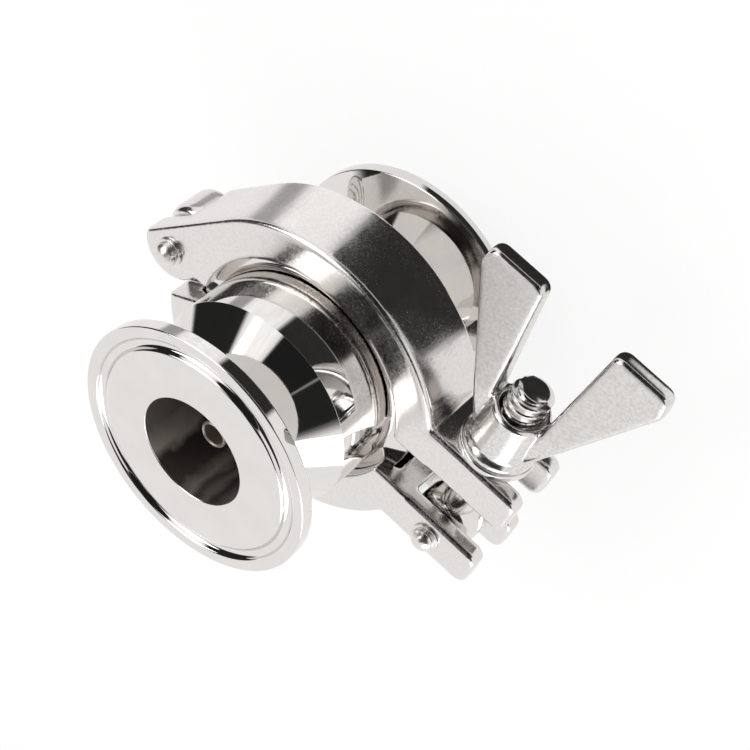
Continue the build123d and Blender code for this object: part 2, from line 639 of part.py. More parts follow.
def pin(x, y, back_z):
    """Turned pin with a grooved dome head in front; back_z is the face its tail passes."""
    tail_z = back_z - PIN_WASHER_T - PIN_TAIL
    seat_z = FRONT_Z + SEAT_GAP
    dome_r = (PIN_HEAD_R**2 + PIN_DOME_H**2) / (2 * PIN_DOME_H)
    dome_deg = degrees(asin(PIN_HEAD_R / dome_r))
    groove_z = seat_z + PIN_COLLAR_H
    shoulder_z = seat_z + PIN_HEAD_H - PIN_DOME_H
    with BuildPart() as shaft:
        with BuildSketch(Plane.XZ):
            with BuildLine():
                Polyline(
                    (0, seat_z + PIN_HEAD_H),
                    (0, tail_z),
                    (PIN_R - PIN_CHAMFER, tail_z),
                    (PIN_R, tail_z + PIN_CHAMFER),
                    (PIN_R, seat_z),
                    (PIN_COLLAR_R, seat_z),
                    (PIN_COLLAR_R, groove_z),
                    (PIN_HEAD_R - PIN_GROOVE, groove_z + PIN_GROOVE / 2),
                    (PIN_HEAD_R, groove_z + PIN_GROOVE),
                    (PIN_HEAD_R, shoulder_z),
                )
                CenterArc((0, seat_z + PIN_HEAD_H - dome_r), dome_r, 90 - dome_deg, dome_deg)
            make_face()
        revolve(axis=Axis.Z)
    return shaft.part.moved(Location((x, y, 0)))


def pin_washer(x, y, face_z):
    """Flat washer on a pin's tail, against the face at face_z."""
    with BuildPart() as ring:
        with BuildSketch(Plane.XY.offset(face_z - SEAT_GAP - PIN_WASHER_T)):
            with Locations((x, y)):
                Circle(PIN_WASHER_R)
                Circle(PIN_R + SLIP / 2, mode=Mode.SUBTRACT)
        extrude(amount=PIN_WASHER_T)
        chamfer(ring.faces().sort_by(Axis.Z)[0].outer_wire().edges(), EDGE_BREAK)
    return ring.part


with BuildPart() as hinge_pin:
    add(pin(HINGE_X, HINGE_Y, rear_lug_z))
with BuildPart() as hinge_pin_washer:
    add(pin_washer(HINGE_X, HINGE_Y, rear_lug_z))
with BuildPart() as bolt_pivot_pin:
    add(pin(BOLT_X, BOLT_PIVOT_Y, REAR_Z))
with BuildPart() as bolt_pivot_washer:
    add(pin_washer(BOLT_X, BOLT_PIVOT_Y, REAR_Z))

# Swing bolt: flat eye on the pivot pin, plain shank and a thicker threaded end
with BuildPart() as swing_bolt:
    eye_t = BOLT_SLOT_W - 2 * BOLT_EYE_SIDE_GAP
    with BuildSketch(Plane.XY.offset(JOINT_Z - eye_t / 2)):
        with Locations((BOLT_X, BOLT_PIVOT_Y)):
            Circle(BOLT_EYE_R)
    extrude(amount=eye_t)
    fillet(swing_bolt.edges(), BOLT_EYE_EASE)
    with BuildSketch(Plane.XY.offset(JOINT_Z)):
        with BuildLine():
            Polyline(
                (BOLT_X, BOLT_PIVOT_Y + PIN_R + CUT_OVER),
                (BOLT_X + SHANK_R, BOLT_PIVOT_Y + PIN_R + CUT_OVER),
                (BOLT_X + SHANK_R, THREAD_START_Y),
                (BOLT_X + THREAD_R, THREAD_START_Y + THREAD_R - SHANK_R),
                (BOLT_X + THREAD_R, BOLT_TOP_Y - (THREAD_R - BOLT_END_R)),
                (BOLT_X + BOLT_END_R, BOLT_TOP_Y),
                (BOLT_X, BOLT_TOP_Y),
                close=True,
            )
        make_face()
    revolve(axis=Axis((BOLT_X, 0, JOINT_Z), (0, 1, 0)))
    with Locations((BOLT_X, BOLT_PIVOT_Y, FRONT_Z)):
        Hole(PIN_R + SLIP)

with BuildPart() as nut_washer:
    with BuildSketch(Plane.XZ.offset(-EAR_OUTER_Y - SEAT_GAP)):
        with Locations((BOLT_X, JOINT_Z)):
            Circle(WASHER_R)
            Circle(THREAD_R + SLIP, mode=Mode.SUBTRACT)
    extrude(amount=-WASHER_T)
    chamfer(nut_washer.edges().filter_by(GeomType.CIRCLE).sort_by(SortBy.RADIUS)[-2:], WASHER_CHAMFER)

# Wing nut: waisted hub, collar and two blades that widen and thin towards their tips
with BuildPart() as wing_nut:
    with BuildSketch(Plane.XY.offset(JOINT_Z)):
        with BuildLine():
            Polyline(
                (BOLT_X, NUT_BOTTOM_Y),
                (BOLT_X + NUT_COLLAR_R, NUT_BOTTOM_Y),
                (BOLT_X + NUT_COLLAR_R, NUT_BOTTOM_Y + NUT_COLLAR_EDGE),
                (BOLT_X + NUT_BASE_R, NUT_BOTTOM_Y + NUT_COLLAR_T),
                (BOLT_X + NUT_TOP_R, NUT_TOP_Y - NUT_TOP_BREAK),
                (BOLT_X + NUT_TOP_R - NUT_TOP_BREAK, NUT_TOP_Y),
                (BOLT_X + NUT_MOUTH_R, NUT_TOP_Y),
                (BOLT_X + THREAD_R + SLIP, NUT_TOP_Y - (NUT_MOUTH_R - THREAD_R)),
                (BOLT_X, NUT_TOP_Y - (NUT_MOUTH_R - THREAD_R)),
                close=True,
            )
        make_face()
    revolve(axis=Axis((BOLT_X, 0, JOINT_Z), (0, 1, 0)))

tip_x = WING_SPAN / 2
with BuildPart() as blade:
    with BuildSketch(Plane.XY.offset(JOINT_Z - WING_ROOT_T / 2)):
        with BuildLine():
            Polyline(
                (BOLT_X + WING_INNER_ROOT - WING_SINK, NUT_TOP_Y - WING_SINK_Y),
                (BOLT_X + WING_INNER_ROOT, NUT_TOP_Y - WING_SINK_Y),
                (BOLT_X + WING_INNER_TOP, WING_TOP_Y),
                (BOLT_X + tip_x - WING_TIP_LEAN, WING_TOP_Y),
                (BOLT_X + tip_x, WING_TOP_Y - WING_OUTER_KNEE_DROP),
                (BOLT_X + WING_ROOT_OUTER, WING_ROOT_Y),
                (BOLT_X + WING_INNER_ROOT - WING_SINK, WING_ROOT_Y),
                close=True,
            )
        make_face()
    extrude(amount=WING_ROOT_T)
    tips = blade.edges().filter_by(Axis.Z).group_by(Axis.Y)[-1]
    fillet(tips, WING_INNER_CORNER)
    fillet(blade.edges().filter_by(Axis.Z).group_by(Axis.X)[-1], WING_OUTER_CORNER)
    with BuildSketch(Plane.YZ.offset(BOLT_X)):
        with BuildLine():
            Polyline(
                (WING_ROOT_Y - CUT_OVER, JOINT_Z - WING_ROOT_T / 2),
                (NUT_TOP_Y, JOINT_Z - WING_ROOT_T / 2),
                (WING_TOP_Y + CUT_OVER, JOINT_Z - WING_TIP_T / 2),
                (WING_TOP_Y + CUT_OVER, JOINT_Z + WING_TIP_T / 2),
                (NUT_TOP_Y, JOINT_Z + WING_ROOT_T / 2),
                (WING_ROOT_Y - CUT_OVER, JOINT_Z + WING_ROOT_T / 2),
                close=True,
            )
        make_face()
    extrude(amount=tip_x + CUT_OVER, mode=Mode.INTERSECT)
    far_edges = blade.edges().filter_by(lambda e: e.center().X > BOLT_X + NUT_BASE_R + SMALL_CHAMFER)
    fillet(far_edges.filter_by(lambda e: abs(e.center().Z - JOINT_Z) > WING_TIP_T / 3), WING_EDGE)

with wing_nut:
    add(blade.part)
    mirror(blade.part, about=Plane.YZ.offset(BOLT_X))
    with BuildSketch(Plane.XZ.offset(CUT_OVER - NUT_BOTTOM_Y)):
        with Locations((BOLT_X, JOINT_Z)):
            Circle(THREAD_R + SLIP)
    extrude(amount=-(NUT_H + 2 * CUT_OVER), mode=Mode.SUBTRACT)

PIECES = {
    "inlet_body": inlet_body,
    "outlet_body": outlet_body,
    "body_gasket": body_gasket,
    "valve_seat": valve_seat,
    "seat_washer": seat_washer,
    "element_spider": element_spider,
    "spider_snap_ring": spider_snap_ring,
    "element_stem": element_stem,
    "stem_nut": stem_nut,
    "bellows_top_cap": bellows_top_cap,
    "bellows": bellows,
    "bellows_bottom_cap": bellows_bottom_cap,
    "valve_head": valve_head,
    "clamp_upper_half": clamp_upper_half,
    "clamp_lower_half": clamp_lower_half,
    "hinge_pin": hinge_pin,
    "hinge_pin_washer": hinge_pin_washer,
    "bolt_pivot_pin": bolt_pivot_pin,
    "bolt_pivot_washer": bolt_pivot_washer,
    "swing_bolt": swing_bolt,
    "nut_washer": nut_washer,
    "wing_nut": wing_nut,
}

for piece_name, piece in PIECES.items():
    piece.part.label = piece_name
    export_step(piece.part, f"parts/{piece_name}.step")
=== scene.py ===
import math

import bmesh
import bpy
import numpy as np
from mathutils import Matrix, Vector


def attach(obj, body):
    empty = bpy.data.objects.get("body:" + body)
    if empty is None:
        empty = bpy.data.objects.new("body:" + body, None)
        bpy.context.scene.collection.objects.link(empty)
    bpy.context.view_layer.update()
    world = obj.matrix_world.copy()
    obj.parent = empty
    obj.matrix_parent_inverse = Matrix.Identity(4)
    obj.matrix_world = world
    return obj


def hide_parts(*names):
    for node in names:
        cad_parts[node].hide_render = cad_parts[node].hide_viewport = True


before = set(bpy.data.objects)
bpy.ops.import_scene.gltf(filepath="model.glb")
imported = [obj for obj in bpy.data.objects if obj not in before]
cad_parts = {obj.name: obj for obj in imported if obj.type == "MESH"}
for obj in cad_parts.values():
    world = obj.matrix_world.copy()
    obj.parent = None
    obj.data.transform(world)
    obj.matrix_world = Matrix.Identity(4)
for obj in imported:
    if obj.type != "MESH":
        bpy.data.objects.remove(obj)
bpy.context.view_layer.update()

bl_info = {
    "name": "Thermostatic Steam Trap",
    "version": (1, 0, 0),
    "blender": (4, 5, 0),
    "location": "3D View > Sidebar > Steam Trap",
    "description": "Turned, cast and threaded surfaces for a clamped steam trap",
    "category": "Object",
}

MM = 0.001

# Distances within which doubled points are merged, in metres
MERGE_TURNED = 1e-7
MERGE_CAST = 1e-6

# Depths of surface relief, in metres
TOOL_MARK = 0.00002
POLISH_LINE = 0.00005
CAST_PIT = 0.00006
SEAL_GRAIN = 0.0001
PAPER_GRAIN = 0.0001
BLASTED_GRAIN = 0.00012
CAST_WAVE = 0.0004

# Heights between which the wing nut's grain sets in, in metres
GRAIN_FROM_Y = (0.0262, 0.0285)

# Painted reflections of the bore, as light and shade in its colour: part of a turn from the -X
# side, and how light the steel is painted there
BORE_PAINTED_REFLECTIONS = [(0.0, 0.25), (0.08, 0.35), (0.15, 0.9), (0.18, 0.1), (0.25, 0.15), (0.285, 0.6),
              (0.31, 0.15), (0.335, 0.4), (0.36, 0.1), (0.45, 0.5), (0.75, 0.6), (1.0, 0.25)]


class TrapSizes(bpy.types.PropertyGroup):
    """Sizes that a user would change."""

    face_to_face: bpy.props.FloatProperty(
        name="Face to face", description="Length between the ferrule faces",
        default=0.063, unit="LENGTH")
    rim_radius: bpy.props.FloatProperty(
        name="Rim radius", description="Radius of the ferrule and joint rims",
        default=0.02525, unit="LENGTH")
    bore_radius: bpy.props.FloatProperty(
        name="Bore radius", description="Radius of the inlet and outlet bores",
        default=0.01105, unit="LENGTH")
    thread_pitch: bpy.props.FloatProperty(
        name="Thread pitch", description="Pitch of the swing bolt's thread",
        default=0.002, unit="LENGTH")
    thread_depth: bpy.props.FloatProperty(
        name="Thread depth", description="Depth of the swing bolt's thread",
        default=0.00105, unit="LENGTH")
    cast_voxel: bpy.props.FloatProperty(
        name="Cast grain", description="Size of the steps that round the cast pieces",
        default=0.00034, unit="LENGTH")
    cast_rounds: bpy.props.IntProperty(
        name="Cast rounding", description="How often the cast edges are eased", default=9, min=0)
    lathe_steps: bpy.props.IntProperty(
        name="Turning steps", description="Facets round a turned piece", default=192, min=16)


class TrapFinish(bpy.types.PropertyGroup):
    """Colours and polish that a user would change."""

    steel: bpy.props.FloatVectorProperty(
        name="Steel", description="Colour of the polished steel", subtype="COLOR",
        size=4, default=(0.765, 0.74, 0.72, 1.0), min=0, max=1)
    # The bore colour is darker and browner than the steel: painted shade inside the bore and on the
    # element's stem
    bore: bpy.props.FloatVectorProperty(
        name="Bore", description="Colour of the bored steel inside", subtype="COLOR",
        size=4, default=(0.42, 0.375, 0.33, 1.0), min=0, max=1)
    bodies_roughness: bpy.props.FloatProperty(
        name="Body roughness", description="Roughness of the turned bodies", default=0.035,
        min=0, max=1, subtype="FACTOR")
    bore_roughness: bpy.props.FloatProperty(
        name="Bore roughness", description="Roughness of the bored steel inside", default=0.34,
        min=0, max=1, subtype="FACTOR")
    cast_roughness: bpy.props.FloatProperty(
        name="Clamp roughness", description="Roughness of the polished castings", default=0.16,
        min=0, max=1, subtype="FACTOR")
    grain_roughness: bpy.props.FloatProperty(
        name="Wing face roughness", description="Roughness of the blasted wing faces",
        default=0.42, min=0, max=1, subtype="FACTOR")
    seal: bpy.props.FloatVectorProperty(
        name="Seal", description="Colour of the joint gasket", subtype="COLOR",
        size=4, default=(0.80, 0.79, 0.75, 1.0), min=0, max=1)


# Materials


def start_material(name, metallic=None):
    """New node material with its shader, and short ways to add and join nodes."""
    mat = bpy.data.materials.new(name)
    mat.use_nodes = True
    tree = mat.node_tree
    shader = tree.nodes["Principled BSDF"]
    if metallic is not None:
        shader.inputs["Metallic"].default_value = metallic
    add, join = node_tools(tree)
    return mat, shader, add, join


def node_tools(tree):
    """Short ways to add nodes to a tree and to join them."""

    def add(kind, **values):
        node = tree.nodes.new(kind)
        for key, value in values.items():
            if hasattr(node, key):
                setattr(node, key, value)
            else:
                node.inputs[key].default_value = value
        return node

    def join(a, out, b, into):
        tree.links.new(a.outputs[out], b.inputs[into])

    return add, join


def value_range(add, join, source, out, low, high, from_low=0.3, from_high=0.7):
    """Maps a pattern's middle range to low..high."""
    node = add("ShaderNodeMapRange")
    node.inputs["From Min"].default_value = from_low
    node.inputs["From Max"].default_value = from_high
    node.inputs["To Min"].default_value = low
    node.inputs["To Max"].default_value = high
    join(source, out, node, "Value")
    return node


def noise(add, join, place, scale, detail=2.0, roughness=0.5, out="Object"):
    """Noise read at an output of the node place."""
    node = add("ShaderNodeTexNoise", Scale=scale, Detail=detail, Roughness=roughness)
    join(place, out, node, "Vector")
    return node


def calculate(add, join, operation, *sources):
    """Math node fed by nodes, or by pairs of a node and the name of its output."""
    node = add("ShaderNodeMath", operation=operation)
    for into, source in enumerate(sources):
        source, out = source if isinstance(source, tuple) else (source, 0)
        join(source, out, node, into)
    return node


def bump(add, join, height, strength, distance, below=None):
    """Relief from a pattern, laid over the relief below it."""
    node = add("ShaderNodeBump", Strength=strength, Distance=distance)
    join(height, 0, node, "Height")
    if below:
        join(below, 0, node, "Normal")
    return node


def tint_between(add, join, shader, colour, share, source, from_low=0.3, from_high=0.7):
    """Base colour that a pattern moves between the colour and a share of it."""
    tone = add("ShaderNodeMix", data_type="RGBA")
    tone.inputs["A"].default_value = colour
    tone.inputs["B"].default_value = [c * share for c in colour[:3]] + [1.0]
    tint = value_range(add, join, source, 0, 0.0, 1.0, from_low, from_high)
    join(tint, 0, tone, "Factor")
    join(tone, "Result", shader, "Base Color")


def turned_coordinates(add, join, centre, axis):
    """Radius and height of a point about a piece's own axis, as a pattern vector."""
    place = add("ShaderNodeTexCoord")
    move = add("ShaderNodeMapping", vector_type="POINT")
    move.inputs["Location"].default_value = [-c for c in centre]
    join(place, "Object", move, "Vector")
    parts = add("ShaderNodeSeparateXYZ")
    join(move, "Vector", parts, "Vector")
    squares = [calculate(add, join, "MULTIPLY", (parts, name), (parts, name))
               for name in "XYZ" if name != axis]
    radius = calculate(add, join, "SQRT", calculate(add, join, "ADD", *squares))
    vector = add("ShaderNodeCombineXYZ")
    join(radius, 0, vector, "X")
    join(parts, axis, vector, "Z")
    return vector


def turned_steel(name, colour, roughness, centre=(0, 0, 0), axis="Z", ring_bump=0.02):
    """Polished turned steel: faint rings round the axis, soft clouds in the polish, fine specks."""
    mat, shader, add, join = start_material(name, metallic=1.0)
    rings_at = turned_coordinates(add, join, centre, axis)
    rings = noise(add, join, rings_at, 5200.0, 2.0, 0.6, "Vector")
    place = add("ShaderNodeTexCoord")
    clouds = noise(add, join, place, 160.0, 4.0, 0.55)
    specks = noise(add, join, place, 2600.0, 3.0, 0.7)
    tint_between(add, join, shader, colour, 0.95, clouds)
    polish = value_range(add, join, clouds, 0, roughness * 0.7, roughness * 1.6)
    spread = value_range(add, join, rings, 0, -roughness * 0.2, roughness * 0.5)
    join(calculate(add, join, "ADD", polish, spread), 0, shader, "Roughness")
    ring_relief = bump(add, join, rings, ring_bump, TOOL_MARK)
    join(bump(add, join, specks, ring_bump, TOOL_MARK, ring_relief), 0, shader, "Normal")
    return mat


def bored_steel_with_painted_reflections(name, colour, roughness):
    """Bored steel in a darker colour as painted shade, with painted reflections: light and dark
    stripes along the bore, placed by the angle about the axis, and faint tool rings.  The angle is
    the arc tangent of y and x, as a part of a full turn."""
    mat, shader, add, join = start_material(name, metallic=0.35)
    place = add("ShaderNodeTexCoord")
    parts = add("ShaderNodeSeparateXYZ")
    join(place, "Object", parts, "Vector")
    angle = calculate(add, join, "ARCTAN2", (parts, "Y"), (parts, "X"))
    wobble = noise(add, join, place, 260.0)
    shift = value_range(add, join, wobble, 0, -0.06, 0.06)
    bent = calculate(add, join, "ADD", angle, shift)
    part = value_range(add, join, bent, 0, 0.0, 1.0, -math.pi, math.pi)
    # Painted reflections: light and dark stripes painted into the base colour by angle round the
    # bore
    painted_reflections = add("ShaderNodeValToRGB")
    ramp = painted_reflections.color_ramp
    ramp.elements[0].position = 0.0
    ramp.elements[1].position = 1.0
    for spot, _ in BORE_PAINTED_REFLECTIONS[1:-1]:
        ramp.elements.new(spot)
    for element, (_, shade) in zip(ramp.elements, BORE_PAINTED_REFLECTIONS):
        element.color = [c * shade for c in colour[:3]] + [1.0]
    join(part, 0, painted_reflections, "Fac")
    join(painted_reflections, "Color", shader, "Base Color")
    rings_at = turned_coordinates(add, join, (0, 0, 0), "Z")
    rings = noise(add, join, rings_at, 4200.0, 2.0, 0.6, "Vector")
    polish = value_range(add, join, rings, 0, roughness * 0.8, roughness * 1.3)
    join(polish, 0, shader, "Roughness")
    join(bump(add, join, rings, 0.06, TOOL_MARK), 0, shader, "Normal")
    return mat


def cast_steel(name, colour, roughness):
    """Cast and polished steel: shallow waves, pin specks and a few polishing lines."""
    mat, shader, add, join = start_material(name, metallic=1.0)
    place = add("ShaderNodeTexCoord")
    waves = noise(add, join, place, 150.0, 2.0, 0.45)
    pits = noise(add, join, place, 1900.0, 4.0, 0.65)
    stretch = add("ShaderNodeMapping")
    stretch.inputs["Scale"].default_value = (300.0, 300.0, 5200.0)
    join(place, "Object", stretch, "Vector")
    lines = noise(add, join, stretch, 1.0, 3.0, 0.6, "Vector")
    tint_between(add, join, shader, colour, 0.94, pits, 0.35, 0.65)
    polish = value_range(add, join, waves, 0, roughness * 0.75, roughness * 1.35)
    spots = value_range(add, join, pits, 0, -roughness * 0.3, roughness * 0.7)
    join(calculate(add, join, "ADD", polish, spots), 0, shader, "Roughness")
    wave_relief = bump(add, join, waves, 0.07, CAST_WAVE)
    pit_relief = bump(add, join, pits, 0.05, CAST_PIT, wave_relief)
    join(bump(add, join, lines, 0.03, POLISH_LINE, pit_relief), 0, shader, "Normal")
    return mat


def wing_steel(name, colour, polished, blasted):
    """Cast wing nut: the broad faces across Z are blasted and grainy, the edges polished.  The
    grain starts above the hub's waist."""
    mat, shader, add, join = start_material(name, metallic=1.0)
    place = add("ShaderNodeTexCoord")
    grain = noise(add, join, place, 1500.0, 5.0, 0.7)
    blotch = noise(add, join, place, 170.0, 3.0, 0.5)
    facing = add("ShaderNodeSeparateXYZ")
    join(place, "Normal", facing, "Vector")
    flat = calculate(add, join, "ABSOLUTE", (facing, "Z"))
    high = add("ShaderNodeSeparateXYZ")
    join(place, "Object", high, "Vector")
    mask = value_range(add, join, flat, 0, 0.0, 1.0, 0.80, 0.93)
    above = value_range(add, join, high, "Y", 0.0, 1.0, *GRAIN_FROM_Y)
    both = calculate(add, join, "MULTIPLY", mask, above)
    rough = add("ShaderNodeMix", data_type="FLOAT")
    rough.inputs["A"].default_value = polished
    rough.inputs["B"].default_value = blasted
    join(both, 0, rough, "Factor")
    varied = value_range(add, join, grain, 0, -0.04, 0.08)
    join(calculate(add, join, "ADD", (rough, "Result"), varied), 0, shader, "Roughness")
    tint_between(add, join, shader, colour, 0.84, grain, 0.4, 0.62)
    strength = calculate(add, join, "MULTIPLY_ADD", both)
    strength.inputs[1].default_value = 0.32
    strength.inputs[2].default_value = 0.05
    relief = bump(add, join, grain, 1.0, BLASTED_GRAIN)
    join(strength, 0, relief, "Strength")
    join(bump(add, join, blotch, 0.08, CAST_WAVE, relief), 0, shader, "Normal")
    return mat


def seal_material(name, colour):
    """Pale sealing compound with a fine mottle."""
    mat, shader, add, join = start_material(name)
    mottle = noise(add, join, add("ShaderNodeTexCoord"), 900.0, 4.0)
    tint_between(add, join, shader, colour, 0.88, mottle)
    join(value_range(add, join, mottle, 0, 0.45, 0.65), 0, shader, "Roughness")
    join(bump(add, join, mottle, 0.1, SEAL_GRAIN), 0, shader, "Normal")
    return mat


# Surfaces


def grid_faces(rows, cols, wrap_rows, wrap_cols):
    """Corner numbers of the four-sided faces of a grid whose ends may join up."""
    i = np.arange(rows if wrap_rows else rows - 1)
    j = np.arange(cols if wrap_cols else cols - 1)
    i, j = np.meshgrid(i, j, indexing="ij")
    i2, j2 = (i + 1) % rows, (j + 1) % cols
    return np.stack([i * cols + j, i * cols + j2, i2 * cols + j2, i2 * cols + j], -1).reshape(-1, 4)


def finish_piece(name, points, faces, mat, body, nodes, sharp_deg=32.0):
    """Makes the piece, merges doubled points, turns faces outwards and says what it stands for."""
    mesh = bpy.data.meshes.new(name)
    mesh.from_pydata(points.tolist(), [], [tuple(face) for face in faces.tolist()])
    merge_points(mesh, MERGE_TURNED, outwards=True)
    mesh.shade_smooth()
    mesh.set_sharp_from_angle(angle=math.radians(sharp_deg))
    mesh.materials.append(mat)
    return stand_for(name, mesh, body, nodes)


def merge_points(mesh, distance, outwards=False):
    """Merges doubled points and, if asked, turns all faces outwards."""
    work = bmesh.new()
    work.from_mesh(mesh)
    bmesh.ops.remove_doubles(work, verts=work.verts, dist=distance)
    if outwards:
        bmesh.ops.recalc_face_normals(work, faces=work.faces)
    work.to_mesh(mesh)
    work.free()


def link_object(name, data):
    """New object in the scene."""
    made = bpy.data.objects.new(name, data)
    bpy.context.scene.collection.objects.link(made)
    return made


def stand_for(name, mesh, body, nodes):
    """Puts a piece in the scene and says its body and the nodes that it replaces."""
    piece = link_object(name, mesh)
    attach(piece, body)
    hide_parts(*nodes)
    return piece


def eased(corners, closed=True):
    """Profile through corners (r, z, easing): each easing above 0 becomes a round corner.

    The arc's tangent points lie easing * tan(turn / 2) before and after the corner, and its
    points go round the circle that touches both sides there."""
    out = []
    count = len(corners)
    for k, (r, z, ease) in enumerate(corners):
        here = np.array([r, z], float)
        ends = not closed and k in (0, count - 1)
        if ease <= 0 or ends:
            out.append(here)
            continue
        before = np.array(corners[k - 1][:2], float) - here
        after = np.array(corners[(k + 1) % count][:2], float) - here
        a, b = before / np.linalg.norm(before), after / np.linalg.norm(after)
        inner = math.acos(np.clip(a @ b, -1, 1))
        reach = ease / math.tan(inner / 2)
        centre = here + (a + b) / np.linalg.norm(a + b) * ease / math.sin(inner / 2)
        first, last = here + a * reach, here + b * reach
        t0 = math.atan2(*(first - centre)[::-1])
        t1 = math.atan2(*(last - centre)[::-1])
        turn = (t1 - t0 + math.pi) % (2 * math.pi) - math.pi
        steps = max(4, int(abs(turn) / math.radians(9)))
        t = t0 + turn * np.linspace(0, 1, steps + 1)
        out.extend(centre + ease * np.stack([np.cos(t), np.sin(t)], -1))
    return np.array(out)


def turned(profile, steps, centre=(0, 0, 0), axis="Z", closed=True):
    """A profile of (radius, height) carried once round its axis: point = radius times
    (cos, sin) of the turn, at the profile's height along the axis."""
    turn = np.linspace(0, 2 * math.pi, steps, endpoint=False)
    r, h = profile[:, :1], profile[:, 1:]
    a, b = r * np.cos(turn), r * np.sin(turn)
    c = np.repeat(h, steps, 1)
    order = {"Z": (a, b, c), "Y": (b, c, a), "X": (c, a, b)}[axis]
    points = np.stack(order, -1).reshape(-1, 3) * MM + np.array(centre) * MM
    return points, grid_faces(len(profile), steps, closed, True)


def cast_copy(name, node, mat, body, voxel, rounds):
    """The solid's own form with eased edges: an even skin is laid over it and smoothed."""
    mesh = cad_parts[node].data.copy()
    merge_points(mesh, MERGE_CAST)
    rough = link_object(name + "_rough", mesh)
    skin = rough.modifiers.new("skin", "REMESH")
    skin.mode = "VOXEL"
    skin.voxel_size = voxel
    ease = rough.modifiers.new("ease", "SMOOTH")
    ease.factor = 0.5
    ease.iterations = rounds
    view = bpy.context.evaluated_depsgraph_get()
    made = bpy.data.meshes.new_from_object(rough.evaluated_get(view))
    bpy.data.objects.remove(rough)
    made.shade_smooth()
    made.materials.clear()
    made.materials.append(mat)
    return stand_for(name, made, body, (node,))


# Sizes of the turned pieces, in millimetres

JOINT_Z = 27.25
JOINT_HALF = 1.0
FRONT_Z = 35.0
HINGE = (-32.6, 1.2)
PIVOT = (37.6, -10.0)
BOLT_X = 37.6

GROOVE_IN = 20.45
GROOVE_OUT = 22.95
GROOVE_SIDE = 0.6
GROOVE_DEPTH = 1.1
RIM_T = 2.6
JOINT_RIM_T = 2.85
NECK_R = 12.9
NECK_END = 8.85
BODY_R = 20.8
SHOULDER_END = 16.75
TAPER = math.tan(math.radians(20))

CHAMBER_R = 18.3
RING_GROOVE_R = 19.1
RING_GROOVE_LOW, RING_GROOVE_HIGH = 40.35, 41.48
LEDGE_R, LEDGE_Z = 16.6, 43.0
SEAT_BORE_R = 6.05
BORE_R = 11.05

INLET_INSIDE = [
    (CHAMBER_R, JOINT_Z + JOINT_HALF, 0.2), (CHAMBER_R, RING_GROOVE_LOW, 0),
    (RING_GROOVE_R, RING_GROOVE_LOW, 0), (RING_GROOVE_R, RING_GROOVE_HIGH, 0),
    (CHAMBER_R, RING_GROOVE_HIGH, 0), (CHAMBER_R, LEDGE_Z, 0), (LEDGE_R, LEDGE_Z, 0),
    (LEDGE_R, 44.4, 0.3), (BORE_R, 49.95, 0.6)]
OUTLET_INSIDE = [
    (CHAMBER_R, JOINT_Z - JOINT_HALF, 0.2), (CHAMBER_R, 18.26, 0.8), (8.2, 12.0, 0.3),
    (SEAT_BORE_R, 12.0, 0), (SEAT_BORE_R, 7.5, 0), (BORE_R, 7.5, 0.2)]

# Finish of the inside, in metres: the steps left polished at the faces and the widths inside
# which a face counts as bored, near the end and further in
BORED_FROM = 0.0004
BORED_WITHIN = 0.0192
BORED_NEAR_R = 0.0113
FLARE_FROM, NEAR_END = 0.012, 0.018


def body_profile(face_z, up, inside, sizes):
    """Outline of one body half from its ferrule face up to the joint, then down its inside."""
    rim, bore = sizes.rim_radius / MM, sizes.bore_radius / MM
    joint = JOINT_Z - up * JOINT_HALF
    groove_z = face_z + up * GROOVE_DEPTH
    corners = [
        (bore, face_z, 0.25),
        (GROOVE_IN, face_z, 0.7),
        (GROOVE_IN + GROOVE_SIDE, groove_z, 1.05),
        (GROOVE_OUT - GROOVE_SIDE, groove_z, 1.05),
        (GROOVE_OUT, face_z, 0.7),
        (rim, face_z, 0.35),
        (rim, face_z + up * RIM_T, 0.35),
        (NECK_R, face_z + up * (RIM_T + (rim - NECK_R) * TAPER), 1.5),
        (NECK_R, face_z + up * NECK_END, 1.5),
        (BODY_R, face_z + up * SHOULDER_END, 0.08),
        (BODY_R, joint - up * (JOINT_RIM_T + (rim - BODY_R) * TAPER), 0.8),
        (rim, joint - up * JOINT_RIM_T, 0.3),
        (rim, joint, 0.3),
    ]
    return eased(corners + inside)


def mark_bored(piece, face, bored):
    """Gives the faces of the bore and the chamber their own finish: darker steel as painted shade,
    with painted reflections.  A face belongs to them if it lies within a radius of the axis: the
    bore's own radius near the end, growing as fast as the depth where the bore flares, and the
    chamber's further in."""
    piece.data.materials.append(bored)
    centres = np.empty(len(piece.data.polygons) * 3)
    piece.data.polygons.foreach_get("center", centres)
    x, y, z = centres.reshape(-1, 3).T
    radius, depth = np.hypot(x, y), np.abs(face * MM - z)
    flare = BORED_NEAR_R + np.clip(depth - FLARE_FROM, 0, 1)
    inner = (radius < BORED_WITHIN) & (depth > BORED_FROM)
    inner &= radius < np.where(depth < NEAR_END, flare, 1)
    piece.data.polygons.foreach_set("material_index", inner.astype(int))


def sizes_and_finish(context):
    """The two property groups that the operators read."""
    return context.scene.trap_sizes, context.scene.trap_finish


class TRAP_OT_bodies(bpy.types.Operator):
    """Adds the two turned body halves."""

    bl_idname = "trap.bodies"
    bl_label = "Turned Bodies"

    def execute(self, context):
        sizes, finish = sizes_and_finish(context)
        mat = turned_steel("body_polish", finish.steel[:], finish.bodies_roughness)
        # The bore's colour is darker as painted shade, and its finish carries painted reflections
        bored = bored_steel_with_painted_reflections("bore_with_painted_reflections", finish.bore[:], finish.bore_roughness)
        for name, face, up, inside, node in (
            ("inlet_half_turned", sizes.face_to_face / MM, -1, INLET_INSIDE, "inlet_body"),
            ("outlet_half_turned", 0.0, 1, OUTLET_INSIDE, "outlet_body"),
        ):
            profile = body_profile(face, up, inside, sizes)
            points, faces = turned(profile, sizes.lathe_steps)
            piece = finish_piece(name, points, faces, mat, "trap", (node,), 28)
            mark_bored(piece, face, bored)
        return {"FINISHED"}


